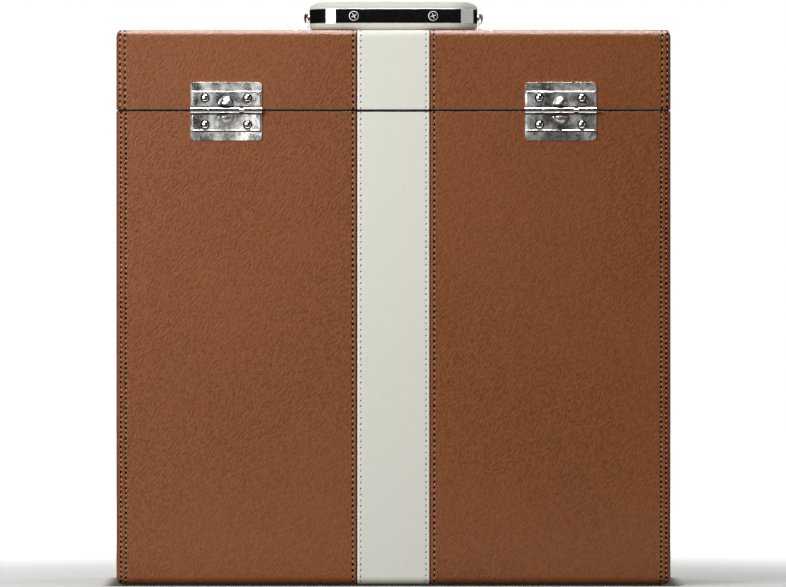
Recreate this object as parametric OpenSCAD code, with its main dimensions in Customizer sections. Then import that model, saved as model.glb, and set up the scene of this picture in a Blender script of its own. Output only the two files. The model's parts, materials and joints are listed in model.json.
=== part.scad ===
// Record carrying case: a tall board box covered in leatherette, with a hinged lid,
// two stamped stop hinges behind, a clasp in front and a folding handle on top.
// +Z is up and +Y is the hinge side. The origin is under the middle of the case.

/* [Case] */
// Outside width of the case
case_w = 350; // [344:1:380]
// Outside depth of the case, front to back
case_d = 165; // [130:1:220]
// Height of the base, from the table to its rim
base_h = 300; // [290:1:310]
// Height of the shut case without its handle
case_h = 351; // [345:1:365]
// Gap between the two rims when the lid is shut
rim_gap = 0.4; // [0.3:0.1:0.8]
// Radius of the covered edges along the width of the case
edge_r = 5; // [4:0.5:8]
// Radius of the covered edges at the ends of the case
side_r = 3; // [2.5:0.5:4]
// Radius of the cover where it folds over a rim
rim_r = 0.9; // [0.6:0.1:0.9]

/* [Walls] */
// Thickness of the boards
board_t = 7; // [5:0.5:9]
// Thickness of the leatherette cover
cover_t = 1; // [0.8:0.1:1.2]
// Thickness of the lining
lining_t = 0.8; // [0.5:0.1:1]
// Thickness of the sheet glued under the case
sheet_t = 1; // [0.6:0.1:1]
// Distance of that sheet from the sides of the case
sheet_in = 5.5; // [5:0.5:12]
// Width of the pale stripe
stripe_w = 46; // [44:1:60]
// Width of the sunk seam beside the stripe
seam_w = 0.6; // [0.3:0.1:0.8]

/* [Stop hinges] */
// Distance of each hinge from the middle of the case
hinge_x = 105.5; // [80:0.5:130]
// Width of a hinge along its pin
hinge_w = 45; // [42:1:56]
// Length of the lid leaf from the pin
lid_leaf = 17.7; // [16:0.1:22]
// Length of the base leaf from the pin
base_leaf = 19; // [18:0.1:24]
// Width of the flat band at the far edge of each leaf
leaf_band = 5.9; // [4:0.1:7]
// Height of the bead pressed along the crease of each leaf
bead_h = 0.3; // [0.2:0.05:0.4]
// Thickness of the hinge sheet
leaf_t = 1; // [0.8:0.1:1.2]
// Height of the raised middle panel above the wall, on its hidden side
leaf_rise = 0.8; // [0.5:0.1:1]
// Radius of the rolled barrel
barrel_r = 2.1; // [2:0.1:2.3]
// Radius of the hinge pins
pin_r = 1.1; // [0.9:0.05:1.15]
// Angle at which the stop lugs meet
lid_open = 100; // [95:1:105]

/* [Rivets] */
// Radius of a domed rivet head
head_r = 3.05; // [2.5:0.05:3.1]
// Height of a domed rivet head
head_h = 1.8; // [1.2:0.1:2]
// Radius of a rivet shank
shank_r = 1.6; // [1.2:0.1:1.8]

/* [Clasp] */
// Width of the two clasp plates
plate_w = 42; // [40:1:43]
// Width of the swinging clasp
clasp_w = 24; // [20:1:24]
// Thickness of the swinging clasp
clasp_t = 1.2; // [1:0.1:1.4]
// Length of the clasp from its pin to the start of the finger curl
clasp_l = 30; // [30:0.5:34]
// Height of the clasp pin above the table
clasp_z = 286; // [284:0.5:287]
// Lean of the clasp while it hangs open
clasp_lean = 10; // [9:1:14]

/* [Handle] */
// Outside width of the handle
handle_w = 107; // [100:1:130]
// Reach of the handle from its pivots
handle_reach = 46; // [42:1:60]
// Width of the handle's limb, seen from above
limb_w = 15; // [12:0.5:15]
// Outer corner radius of the handle
handle_r = 19; // [17:0.5:21]
// Height of the bright band
band_h = 9.1; // [7:0.1:10]
// Thickness of the bright band
band_t = 1.2; // [1:0.1:1.5]
// Height of the upper pad
upper_pad_h = 4.6; // [4:0.1:6]
// Height of the lower pad
lower_pad_h = 4.5; // [3:0.1:5]
// Clearance between the folded handle and the lid
handle_gap = 0.9; // [0.5:0.1:2]
// Distance of the band screws from the middle
screw_x = 25.2; // [20:0.1:35]
// Radius of a band screw's head
screw_r = 3.05; // [2.5:0.05:3.3]
// Height of a band screw's head
screw_h = 1; // [0.8:0.1:1.3]

/* [Hidden] */
$fn = 48;

BROWN = [0.48, 0.29, 0.17];
CREAM = [0.86, 0.85, 0.80];
NICKEL = [0.78, 0.78, 0.77];
CHROME = [0.62, 0.62, 0.63];
BOARD = [0.72, 0.58, 0.42];
LINING = [0.10, 0.09, 0.09];
BLACK = [0.08, 0.08, 0.08];
GREY = [0.40, 0.40, 0.40];

far = 500;                          // longer than anything here
lid_z = base_h + rim_gap;           // the lid's rim
wall_t = cover_t + board_t;         // cover and board together
inner_w = case_w - 2 * wall_t;      // between the boards
inner_d = case_d - 2 * wall_t;
board_low = sheet_t + cover_t;      // underside of the bottom board
board_top = case_h - cover_t;       // upper side of the lid board
hole_r = shank_r + 0.05;

// Stop hinges: the wall is the plane Y = 0 of their own frame, and the pin lies on X
hinge_z = base_h + rim_gap / 2;
pin_out = leaf_rise + barrel_r - 0.05;
leaf_face = leaf_rise + leaf_t;     // outer face of the raised panel
leaf_start = barrel_r + 0.5;        // where a leaf begins, clear of the other's knuckles
fixed_bore = pin_r + 0.02;
running_bore = pin_r + 0.06;
side_bevel = 1.3;                   // width of the bevel at each side of a leaf
rivet_dx = 13.4;
lid_rivet_z = 7.8;
base_rivet_z = 9;
lug_r = 5;
lug_z = 3.8;
lug_rise = 4.3;                     // height of a lug above its leaf
stop_half = (180 - lid_open) / 2 - 0.25;
base_knuckles = [[-hinge_w / 2, -11.2], [11.6, hinge_w / 2]];
lid_knuckles = [[-8.4, 0.1], [0.4, 11.2]];
tail_h = 0.9;
tail_r = 2.6;

// Clasp, in a frame like that of the hinges
clasp_out = barrel_r + 0.05;        // pin to wall
clasp_knuckle = 7.7;
plate_knuckle = [8, 13];
plate_t = 1;
plate_low = 264;
strike_low = 302.5;
strike_high = 320;
hook_low = 304.6;
hook_high = 311.1;
hook_w = 9;
hook_out = 5.2;
window_low = 16.5;                  // from the clasp's pin
window_high = hook_high + 0.4 - clasp_z;
window_w = 13;
curl_r = 3;                         // outer radius of the finger curl
clasp_rivet_x = 16;
clasp_rivet_z = 272;
strike_rivet_z = 313.5;

// Handle
band_low = case_h + handle_gap + lower_pad_h;
pivot_z = band_low + band_h / 2;
pivot_r = 1.6;
pivot_bore = pivot_r + 0.05;
pivot_depth = 10;
pad_start = 3;
leg_t = 1.2;
leg_x = handle_w / 2 + 1.2;
leg_top_r = 6;
pivot_head_r = 4;
pivot_head_h = 1.4;
foot_end = 69;
foot_d = 20;
bracket_rivet_x = 62.4;
bracket_rivet_y = 5.2;
washer_r = 4;
washer_t = 0.8;

// ---------------------------------------------------------------- shared shapes

// A rectangle from the origin's centre line, with its own corner radius below and above
module profile(w, low, high, r_low, r_high) {
    translate([-w / 2 + r_low, low]) square([w - 2 * r_low, high - low]);
    translate([-w / 2, low + r_low]) square([w, high - low - r_low - r_high]);
    translate([-w / 2 + r_high, low + r_low]) square([w - 2 * r_high, high - low - r_low]);
    for (s = [-1, 1]) {
        translate([s * (w / 2 - r_low), low + r_low]) circle(r_low);
        translate([s * (w / 2 - r_high), high - r_high]) circle(r_high);
    }
}

// A box with its own edge radius below and above, and no more than r_end at its two ends
module soft_box(w, d, low, high, r_end, r_low, r_high) {
    intersection() {
        linear_extrude(far) profile(w, -d / 2, d / 2, r_end, r_end);
        rotate([90, 0, 0]) linear_extrude(far, center = true)
            profile(w, low, high, min(r_low, r_end), min(r_high, r_end));
        rotate([90, 0, 90]) linear_extrude(far, center = true)
            profile(d, low, high, r_low, r_high);
    }
}

// A plain box between two corners
module block(from, to) {
    translate(from) cube(to - from);
}

// A bar along X from x0 to x1
module bar(x0, x1, r) {
    translate([x0, 0, 0]) rotate([0, 90, 0]) cylinder(r = r, h = x1 - x0);
}

// A bar along Y from y0 to y1
module peg(y0, y1, r) {
    translate([0, y0, 0]) rotate([-90, 0, 0]) cylinder(r = r, h = y1 - y0);
}

// A domed head on the plane Y = 0, standing towards +Y
module dome(r, h) {
    ball = (r * r + h * h) / (2 * h);
    intersection() {
        translate([0, h - ball, 0]) sphere(ball);
        peg(0, h + 1, r + 1);
    }
}

// A rivet along Y: domed head outside, rolled tail behind
module rivet(head_y, tail_y) {
    translate([0, head_y, 0]) dome(head_r, head_h);
    peg(tail_y, head_y, shank_r);
    peg(tail_y - tail_h, tail_y, tail_r);
}

// A sheet on the wall with two rounded corners at each end, from low to high
module plate(w, low, high, t, r) {
    rotate([90, 0, 180]) linear_extrude(t) profile(w, low, high, r, r);
}

// Puts a hinge-frame shape on the back of the case
module at_hinge(side) {
    translate([side * hinge_x, case_d / 2, hinge_z]) children();
}

// Puts a clasp-frame shape, its +Y outwards, on the front of the case
module on_front() {
    translate([0, -case_d / 2, 0]) rotate([0, 0, 180]) children();
}

// The places of the rivets through the walls
module hinge_holes(z) {
    for (side = [-1, 1], s = [-1, 1])
        at_hinge(side) translate([s * rivet_dx, 0, z]) peg(-20, 5, hole_r);
}

module front_holes(z) {
    for (s = [-1, 1])
        on_front() translate([s * clasp_rivet_x, 0, z]) peg(-20, 5, hole_r);
}

module lid_top_holes() {
    for (s = [-1, 1], t = [-1, 1])
        translate([s * bracket_rivet_x, t * bracket_rivet_y, board_top - 30])
            cylinder(r = hole_r, h = 60);
}

module base_holes() {
    hinge_holes(-base_rivet_z);
    front_holes(clasp_rivet_z);
}

module lid_holes() {
    hinge_holes(lid_rivet_z);
    front_holes(strike_rivet_z);
    lid_top_holes();
}

// ---------------------------------------------------------------- boards

// Everything inside the cover of the base, and of the lid
module base_core() {
    soft_box(case_w - 2 * cover_t, case_d - 2 * cover_t, board_low, base_h - cover_t,
        side_r - cover_t, edge_r - cover_t, 0.2);
}

module lid_core() {
    soft_box(case_w - 2 * cover_t, case_d - 2 * cover_t, lid_z + cover_t, board_top,
        side_r - cover_t, 0.2, edge_r - cover_t);
}

module end_region(side) {
    y = side * (inner_d / 2 + 50);
    translate([0, y, 0]) cube([far, 100, 2 * far], center = true);
}

module side_region(side) {
    x = side * (inner_w / 2 + 50);
    translate([x, 0, 0]) cube([100, inner_d, 2 * far], center = true);
}

module inside_region() {
    translate([-inner_w / 2, -inner_d / 2, 0]) cube([inner_w, inner_d, far]);
}

module base_front_board() {
    color(BOARD) difference() {
        intersection() { base_core(); end_region(-1); }
        base_holes();
    }
}

module base_back_board() {
    color(BOARD) difference() {
        intersection() { base_core(); end_region(1); }
        base_holes();
    }
}

module base_left_board() {
    color(BOARD) intersection() { base_core(); side_region(-1); }
}

module base_right_board() {
    color(BOARD) intersection() { base_core(); side_region(1); }
}

module base_bottom_board() {
    color(BOARD) block([-inner_w / 2, -inner_d / 2, board_low],
        [inner_w / 2, inner_d / 2, board_low + board_t]);
}

module lid_front_board() {
    color(BOARD) difference() {
        intersection() { lid_core(); end_region(-1); }
        lid_holes();
    }
}

module lid_back_board() {
    color(BOARD) difference() {
        intersection() { lid_core(); end_region(1); }
        lid_holes();
    }
}

module lid_left_board() {
    color(BOARD) intersection() { lid_core(); side_region(-1); }
}

module lid_right_board() {
    color(BOARD) intersection() { lid_core(); side_region(1); }
}

module lid_top_board() {
    color(BOARD) difference() {
        block([-inner_w / 2, -inner_d / 2, board_top - board_t],
            [inner_w / 2, inner_d / 2, board_top]);
        lid_top_holes();
    }
}

// ---------------------------------------------------------------- cover and linings

// The whole skin of the base: it folds over the rim as far as the lining
module base_skin() {
    difference() {
        soft_box(case_w, case_d, sheet_t, base_h, side_r, edge_r, rim_r);
        base_core();
        translate([0, 0, board_low]) inside_region();
        base_holes();
    }
}

module lid_skin() {
    difference() {
        soft_box(case_w, case_d, lid_z, case_h, side_r, rim_r, edge_r);
        lid_core();
        intersection() {
            inside_region();
            block([-far, -far, 0], [far, far, board_top]);
        }
        lid_holes();
    }
}

// The part of the skin on one side of the stripe
module cover_region(side) {
    x = side * (stripe_w / 2 + seam_w / 2 + far / 2);
    translate([x, 0, 0]) cube([far, far, 3 * far], center = true);
}

module stripe_region() {
    cube([stripe_w - seam_w, far, 3 * far], center = true);
}

module base_cover_left() {
    color(BROWN) intersection() { base_skin(); cover_region(-1); }
}

module base_cover_right() {
    color(BROWN) intersection() { base_skin(); cover_region(1); }
}

module base_stripe() {
    color(CREAM) intersection() { base_skin(); stripe_region(); }
}

module lid_cover_left() {
    color(BROWN) intersection() { lid_skin(); cover_region(-1); }
}

module lid_cover_right() {
    color(BROWN) intersection() { lid_skin(); cover_region(1); }
}

module lid_stripe() {
    color(CREAM) intersection() { lid_skin(); stripe_region(); }
}

// The flat sheet that the case stands on, over the turned-in cover
module base_bottom_sheet() {
    half_d = case_d / 2 - sheet_in;
    color(GREY) linear_extrude(sheet_t) profile(case_w - 2 * sheet_in, -half_d, half_d, 3, 3);
}

// A lining tray between two heights, open at its far side
module lining_tray(low, high, floor_low, floor_high) {
    w = inner_w - 2 * lining_t;
    d = inner_d - 2 * lining_t;
    difference() {
        block([-inner_w / 2, -inner_d / 2, low], [inner_w / 2, inner_d / 2, high]);
        block([-w / 2, -d / 2, floor_low], [w / 2, d / 2, floor_high]);
    }
}

module base_lining() {
    low = board_low + board_t;
    color(LINING) difference() {
        lining_tray(low, base_h - 0.3, low + lining_t, far);
        base_holes();
    }
}

module lid_lining() {
    high = board_top - board_t;
    color(LINING) difference() {
        lining_tray(lid_z + 0.3, high, 0, high - lining_t);
        lid_holes();
    }
}

// ---------------------------------------------------------------- stop hinges

// Section of a leaf, in Y and Z: raised panel, bead along the crease and flat band
module leaf_section(length) {
    crease = length - leaf_band;
    polygon([[0, leaf_start], [leaf_face, leaf_start], [leaf_face, crease - 0.9],
        [leaf_face + bead_h, crease - 0.4], [leaf_face + bead_h, crease - 0.2],
        [leaf_t, crease + 0.5], [leaf_t, length + 1], [0, length + 1]]);
}

// The stamped sheet of a leaf: bevelled sides, hollow behind the raised panel
module leaf_sheet(length) {
    top = leaf_face + bead_h;
    top_half = hinge_w / 2 - side_bevel * (top - leaf_t) / leaf_rise;
    hollow_w = hinge_w - 2 * side_bevel - 0.2;
    difference() {
        intersection() {
            translate([-hinge_w / 2, 0, 0]) rotate([90, 0, 90])
                linear_extrude(hinge_w) leaf_section(length);
            linear_extrude(far) polygon([[-hinge_w / 2, -1], [hinge_w / 2, -1],
                [hinge_w / 2, leaf_t], [top_half, top], [-top_half, top], [-hinge_w / 2, leaf_t]]);
            plate(hinge_w, leaf_start - 5, length, 10, 2.2);
        }
        translate([-hollow_w / 2, 0, 0]) rotate([90, 0, 90])
            linear_extrude(hollow_w)
            polygon([[-1, 0], [leaf_rise, 0], [leaf_rise, length - leaf_band - 0.9],
                [0, length - leaf_band], [-1, length - leaf_band]]);
    }
}

// Half a ball with its flat side towards the pin
module half_ball(r) {
    intersection() {
        translate([0, leaf_face + lug_rise - lug_r, lug_z]) sphere(r);
        block([-10, leaf_rise, lug_z], [10, 20, 20]);
    }
}

// The lanced half-moon lug, bevelled where it meets its twin
module stop_lug() {
    difference() {
        half_ball(lug_r);
        translate([0, pin_out, 0]) rotate([-stop_half, 0, 0])
            translate([-10, 0, -30]) cube([20, 30, 60]);
    }
}

// One rolled knuckle and the strip of sheet that reaches it
module knuckle(span) {
    translate([0, pin_out, 0]) bar(span[0], span[1], barrel_r);
    block([span[0], leaf_rise, 0], [span[1], leaf_face, leaf_start + 0.5]);
}

module leaf(length, rivet_z, spans, bore) {
    difference() {
        union() {
            difference() {
                leaf_sheet(length);
                for (s = [-1, 1]) translate([s * rivet_dx, 0, rivet_z]) peg(-1, 5, hole_r);
            }
            stop_lug();
            for (span = spans) knuckle(span);
        }
        half_ball(lug_r - leaf_t);
        translate([0, pin_out, 0]) bar(-hinge_w, hinge_w, bore);
    }
}

module lid_leaf_at(side) {
    color(NICKEL) at_hinge(side) leaf(lid_leaf, lid_rivet_z, lid_knuckles, running_bore);
}

module base_leaf_at(side) {
    color(NICKEL) at_hinge(side) mirror([0, 0, 1])
        leaf(base_leaf, base_rivet_z, base_knuckles, fixed_bore);
}

module hinge_pin_at(side) {
    color(NICKEL) at_hinge(side) translate([0, pin_out, 0])
        bar(-hinge_w / 2, hinge_w / 2, pin_r);
}

module hinge_left_base_leaf() { base_leaf_at(-1); }
module hinge_right_base_leaf() { base_leaf_at(1); }
module hinge_left_lid_leaf() { lid_leaf_at(-1); }
module hinge_right_lid_leaf() { lid_leaf_at(1); }
module hinge_left_pin() { hinge_pin_at(-1); }
module hinge_right_pin() { hinge_pin_at(1); }

module hinge_rivets(z) {
    color(NICKEL) for (side = [-1, 1], s = [-1, 1])
        at_hinge(side) translate([s * rivet_dx, 0, z]) rivet(leaf_face, -wall_t - lining_t);
}

module hinge_base_rivets() { hinge_rivets(-base_rivet_z); }
module hinge_lid_rivets() { hinge_rivets(lid_rivet_z); }

// ---------------------------------------------------------------- clasp

// Plate on the base, with two knuckles rolled at its upper edge
module clasp_base_plate() {
    color(NICKEL) on_front() difference() {
        union() {
            plate(plate_w, plate_low, clasp_z - leaf_start, plate_t, 2);
            for (s = [-1, 1]) {
                x0 = s > 0 ? plate_knuckle[0] : -plate_knuckle[1];
                x1 = s > 0 ? plate_knuckle[1] : -plate_knuckle[0];
                translate([0, clasp_out, clasp_z]) bar(x0, x1, barrel_r);
                block([x0, 0, clasp_z - leaf_start - 3], [x1, plate_t, clasp_z]);
            }
        }
        translate([0, clasp_out, clasp_z]) bar(-20, 20, fixed_bore);
        for (s = [-1, 1])
            translate([s * clasp_rivet_x, 0, clasp_rivet_z]) peg(-1, 5, hole_r);
    }
}

module clasp_pin() {
    color(NICKEL) on_front() translate([0, clasp_out, clasp_z])
        bar(-plate_knuckle[1], plate_knuckle[1], pin_r);
}

module clasp_base_rivets() {
    color(NICKEL) on_front() for (s = [-1, 1])
        translate([s * clasp_rivet_x, 0, clasp_rivet_z]) rivet(plate_t, -wall_t - lining_t);
}

module strike_plate() {
    color(NICKEL) on_front() difference() {
        plate(plate_w, strike_low, strike_high, plate_t, 2);
        for (s = [-1, 1])
            translate([s * clasp_rivet_x, 0, strike_rivet_z]) peg(-1, 5, hole_r);
    }
}

// The nose that the clasp's window drops over, sloped below and square above
module strike_hook() {
    color(NICKEL) on_front() translate([-hook_w / 2, 0, 0]) rotate([90, 0, 90])
        linear_extrude(hook_w)
        polygon([[plate_t, hook_low], [plate_t, hook_high], [hook_out - 0.6, hook_high],
            [hook_out, hook_high - 0.6], [hook_out, hook_high - 2.4], [plate_t + 1.4, hook_low]]);
}

module strike_rivets() {
    color(NICKEL) on_front() for (s = [-1, 1])
        translate([s * clasp_rivet_x, 0, strike_rivet_z]) rivet(plate_t, -wall_t - lining_t);
}

// Section of the clasp from its pin, in Y and Z: a straight strip and a finger curl
module clasp_section() {
    translate([-clasp_t / 2, 0]) square([clasp_t, clasp_l + 0.01]);
    intersection() {
        translate([curl_r - clasp_t / 2, clasp_l]) difference() {
            circle(curl_r);
            circle(curl_r - clasp_t);
        }
        translate([-10, clasp_l]) square([10 + 2 * curl_r - clasp_t, 10]);
    }
}

// The clasp as it stands when shut, with its pin at the origin
module shut_clasp() {
    tip = clasp_l + curl_r + 1;
    difference() {
        union() {
            intersection() {
                translate([-clasp_w / 2, 0, 0]) rotate([90, 0, 90])
                    linear_extrude(clasp_w) clasp_section();
                rotate([90, 0, 0]) linear_extrude(40, center = true)
                    polygon([[-clasp_knuckle, 0], [clasp_knuckle, 0], [clasp_knuckle, leaf_start],
                        [clasp_w / 2, leaf_start + 2], [clasp_w / 2, clasp_l - 6], [8, tip],
                        [-8, tip], [-clasp_w / 2, clasp_l - 6], [-clasp_w / 2, leaf_start + 2],
                        [-clasp_knuckle, leaf_start]]);
            }
            bar(-clasp_knuckle, clasp_knuckle, barrel_r);
        }
        bar(-20, 20, running_bore);
        block([-window_w / 2, -5, window_low], [window_w / 2, 5, window_high]);
    }
}

// The clasp hanging open, propped off the cover by its curl
module clasp() {
    color(NICKEL) on_front() translate([0, clasp_out, clasp_z])
        rotate([clasp_lean - 180, 0, 0]) shut_clasp();
}

// ---------------------------------------------------------------- handle

// Half-round end of the limbs about the pivot, in Y and Z
module limb_side() {
    translate([0, pivot_z]) circle(band_h / 2);
    translate([0, band_low]) square([far, band_h]);
}

// Outline of the handle from above, grown inwards from its outer face by inset
module loop_outline(inset) {
    r = handle_r - inset;
    w = handle_w - 2 * inset;
    reach = handle_reach - inset;
    translate([-w / 2, -10]) square([w, 10 + reach - r]);
    translate([-w / 2 + r, -10]) square([w - 2 * r, 10 + reach]);
    for (s = [-1, 1]) translate([s * (w / 2 - r), reach - r]) circle(r);
}

// The solid limb between two insets from the outer face
module limb(from, to) {
    intersection() {
        translate([0, 0, band_low]) linear_extrude(band_h) difference() {
            loop_outline(from);
            loop_outline(to);
            translate([-handle_w / 2 + to, -20]) square([handle_w - 2 * to, 30]);
        }
        rotate([90, 0, 90]) linear_extrude(far, center = true) limb_side();
    }
}

module pivot_holes(r) {
    for (s = [-1, 1])
        translate([s * (handle_w / 2 - pivot_depth / 2 + 0.5), 0, pivot_z])
            bar(-pivot_depth / 2 - 0.5, pivot_depth / 2 + 0.5, r);
}

module screw_holes() {
    for (s = [-1, 1]) translate([s * screw_x, handle_reach, pivot_z]) peg(-9, 1, 1.5);
}

module handle_core() {
    color(BLACK) difference() {
        limb(band_t, limb_w);
        pivot_holes(pivot_bore);
        screw_holes();
    }
}

module handle_band() {
    color(CHROME) difference() {
        limb(0, band_t);
        pivot_holes(pivot_bore);
        screw_holes();
    }
}

// Points of the limb's middle line, as [x, y, heading], from the left pivot round to the right
arm_x = (handle_w - limb_w) / 2;
bend_r = handle_r - limb_w / 2;
bend_y = handle_reach - handle_r;
grip_y = handle_reach - limb_w / 2;
grip_half = arm_x - bend_r;
end_run = 5;
limb_half_path = concat(
    [for (i = [0:5]) [-arm_x, pad_start + end_run * (1 - cos(18 * i)), 90]],
    [for (i = [1:2]) [-arm_x, pad_start + end_run + i * (bend_y - pad_start - end_run) / 3, 90]],
    [for (a = [0:11.25:90]) [-grip_half - bend_r * cos(a), bend_y + bend_r * sin(a), 90 - a]],
    [for (i = [1:3]) [-grip_half * (1 - i / 3.5), grip_y, 0]]);
half_count = len(limb_half_path);
limb_path = concat(limb_half_path, [for (i = [half_count - 1:-1:0])
    [-limb_half_path[i][0], limb_half_path[i][1], -limb_half_path[i][2]]]);

// Share of full size that a pad has near its rounded ends
function pad_swell(i) = let (k = min(i, len(limb_path) - 1 - i))
    k < 5 ? max(0.25, sin(18 * k)) : 1;

// One cross section of a pad, a crowned half-round with a flat seat
pad_steps = 10;
function crown(c, power) = sign(c) * pow(abs(c), power);
function pad_ring(i, w, h, power) = let (p = limb_path[i], k = pad_swell(i), r = w / 2 * (0.6 + 0.4 * k))
    [for (j = [0:pad_steps]) let (a = 180 * j / pad_steps, out = r * crown(cos(a), power))
        [p[0] + out * sin(p[2]), p[1] - out * cos(p[2]), h * k * crown(sin(a), power)]];

module pad(w, h, power) {
    n = pad_steps + 1;
    rings = len(limb_path);
    points = [for (i = [0:rings - 1]) each pad_ring(i, w, h, power)];
    sides = [for (i = [0:rings - 2], j = [0:n - 1]) let (a = i * n + j, b = i * n + (j + 1) % n)
        each [[a, b, b + n], [a, b + n, a + n]]];
    ends = [[for (j = [n - 1:-1:0]) j], [for (j = [0:n - 1]) (rings - 1) * n + j]];
    polyhedron(points, concat(sides, ends));
}

module handle_upper_pad() {
    color(CREAM) translate([0, 0, band_low + band_h]) pad(limb_w, upper_pad_h, 1);
}

module handle_lower_pad() {
    color(CREAM) translate([0, 0, band_low]) mirror([0, 0, 1]) pad(limb_w, lower_pad_h, 0.6);
}

// Flat head with a rounded rim on the plane Y = 0, standing towards +Y
module screw_head() {
    rim = screw_h - 0.4;
    rotate([-90, 0, 0]) rotate_extrude() {
        square([screw_r, screw_h - rim]);
        square([screw_r - rim, screw_h]);
        intersection() {
            translate([screw_r - rim, screw_h - rim]) circle(rim);
            square([screw_r, screw_h]);
        }
    }
}

// Cross-recessed screws that hold the band to the core
module handle_band_screws() {
    color(CHROME) for (s = [-1, 1])
        translate([s * screw_x, handle_reach, pivot_z]) difference() {
            union() {
                screw_head();
                peg(-8, 0, 1.45);
            }
            for (a = [25, 115]) rotate([0, a + 5 * s, 0])
                block([-1.8, screw_h - 0.55, -0.3], [1.8, 2, 0.3]);
        }
}

// Bent bracket: a foot on the lid and a leg outside the limb
module bracket() {
    color(NICKEL) difference() {
        intersection() {
            rotate([90, 0, 0]) linear_extrude(foot_d, center = true) difference() {
                union() {
                    translate([leg_x, case_h]) square([leg_t, pivot_z + leg_top_r - case_h]);
                    translate([leg_x, case_h]) square([foot_end - leg_x, leg_t]);
                    translate([leg_x + leg_t, case_h + leg_t]) square(1);
                }
                translate([leg_x + leg_t + 1, case_h + leg_t + 1]) circle(1);
                difference() {
                    translate([leg_x - 1, case_h - 1]) square([2.6, 2.6]);
                    translate([leg_x + 1.6, case_h + 1.6]) circle(1.6);
                    translate([leg_x + 1.6, case_h - 2]) square(5);
                    translate([leg_x - 2, case_h + 1.6]) square(5);
                }
            }
            rotate([90, 0, 90]) linear_extrude(far) union() {
                translate([0, pivot_z]) circle(leg_top_r);
                polygon([[-foot_d / 2, case_h - 1], [foot_d / 2, case_h - 1],
                    [foot_d / 2, case_h + 2], [leg_top_r - 0.2, pivot_z + 0.5],
                    [0.2 - leg_top_r, pivot_z + 0.5], [-foot_d / 2, case_h + 2]]);
            }
            linear_extrude(far) union() {
                translate([0, -foot_d / 2]) square([foot_end - 4, foot_d]);
                translate([0, 4 - foot_d / 2]) square([foot_end, foot_d - 8]);
                for (s = [-1, 1]) translate([foot_end - 4, s * (foot_d / 2 - 4)]) circle(4);
            }
        }
        translate([0, 0, pivot_z]) bar(50, 60, pivot_r + 0.02);
        for (s = [-1, 1]) translate([bracket_rivet_x, s * bracket_rivet_y, case_h - 1])
            cylinder(r = hole_r, h = 5);
    }
}

module handle_bracket_right() { bracket(); }
module handle_bracket_left() { mirror([1, 0, 0]) bracket(); }

// Shouldered pivots held in the legs
module handle_pivots() {
    color(NICKEL) for (s = [0, 1]) mirror([s, 0, 0]) translate([0, 0, pivot_z]) {
        bar(handle_w / 2 - pivot_depth + 1.5, leg_x + leg_t, pivot_r);
        translate([leg_x + leg_t, 0, 0]) rotate([0, 0, -90])
            dome(pivot_head_r, pivot_head_h);
    }
}

module bracket_rivets() {
    tail_z = board_top - board_t - lining_t - washer_t;
    color(NICKEL) for (s = [-1, 1], t = [-1, 1])
        translate([s * bracket_rivet_x, t * bracket_rivet_y, 0]) {
            translate([0, 0, case_h + leg_t]) rotate([90, 0, 0]) dome(2.85, head_h);
            translate([0, 0, tail_z]) cylinder(r = shank_r, h = case_h + leg_t - tail_z);
            translate([0, 0, tail_z - tail_h]) cylinder(r = tail_r, h = tail_h);
        }
}

module bracket_washers() {
    top_z = board_top - board_t - lining_t;
    color(NICKEL) for (s = [-1, 1], t = [-1, 1])
        translate([s * bracket_rivet_x, t * bracket_rivet_y, top_z - washer_t]) difference() {
            cylinder(r = washer_r, h = washer_t);
            translate([0, 0, -1]) cylinder(r = hole_r, h = 3);
        }
}

base_front_board();
base_back_board();
base_left_board();
base_right_board();
base_bottom_board();
base_cover_left();
base_cover_right();
base_stripe();
base_bottom_sheet();
base_lining();
hinge_left_base_leaf();
hinge_right_base_leaf();
hinge_left_pin();
hinge_right_pin();
hinge_base_rivets();
clasp_base_plate();
clasp_pin();
clasp_base_rivets();
lid_front_board();
lid_back_board();
lid_left_board();
lid_right_board();
lid_top_board();
lid_cover_left();
lid_cover_right();
lid_stripe();
lid_lining();
hinge_left_lid_leaf();
hinge_right_lid_leaf();
hinge_lid_rivets();
strike_plate();
strike_hook();
strike_rivets();
handle_bracket_left();
handle_bracket_right();
bracket_rivets();
bracket_washers();
handle_pivots();
handle_core();
handle_band();
handle_upper_pad();
handle_lower_pad();
handle_band_screws();
clasp();
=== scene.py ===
import json
import math
import random

import bmesh
import bpy
from mathutils import Matrix, Vector


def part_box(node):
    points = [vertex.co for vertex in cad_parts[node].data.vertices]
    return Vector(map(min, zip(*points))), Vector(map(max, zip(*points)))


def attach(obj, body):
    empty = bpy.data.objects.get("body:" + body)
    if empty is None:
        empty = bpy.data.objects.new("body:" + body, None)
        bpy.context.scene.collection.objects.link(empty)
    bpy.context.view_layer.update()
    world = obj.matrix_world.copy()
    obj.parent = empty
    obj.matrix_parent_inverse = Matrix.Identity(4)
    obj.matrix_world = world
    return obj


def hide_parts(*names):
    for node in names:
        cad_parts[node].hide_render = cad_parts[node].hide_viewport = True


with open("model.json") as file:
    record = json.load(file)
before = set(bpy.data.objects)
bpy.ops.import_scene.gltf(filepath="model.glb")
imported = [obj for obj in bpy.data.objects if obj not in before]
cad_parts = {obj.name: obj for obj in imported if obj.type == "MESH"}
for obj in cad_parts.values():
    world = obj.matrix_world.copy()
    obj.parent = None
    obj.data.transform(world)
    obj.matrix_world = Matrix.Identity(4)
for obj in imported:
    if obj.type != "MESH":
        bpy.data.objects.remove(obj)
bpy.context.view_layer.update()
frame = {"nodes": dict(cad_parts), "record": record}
nodes = frame["nodes"]

mm = 0.001
tiny = 1e-6
cutTolerance = 1e-7


def middleOf(node):
    low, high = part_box(node)
    return [(a + b) / 2 for a, b in zip(low, high)]


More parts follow.
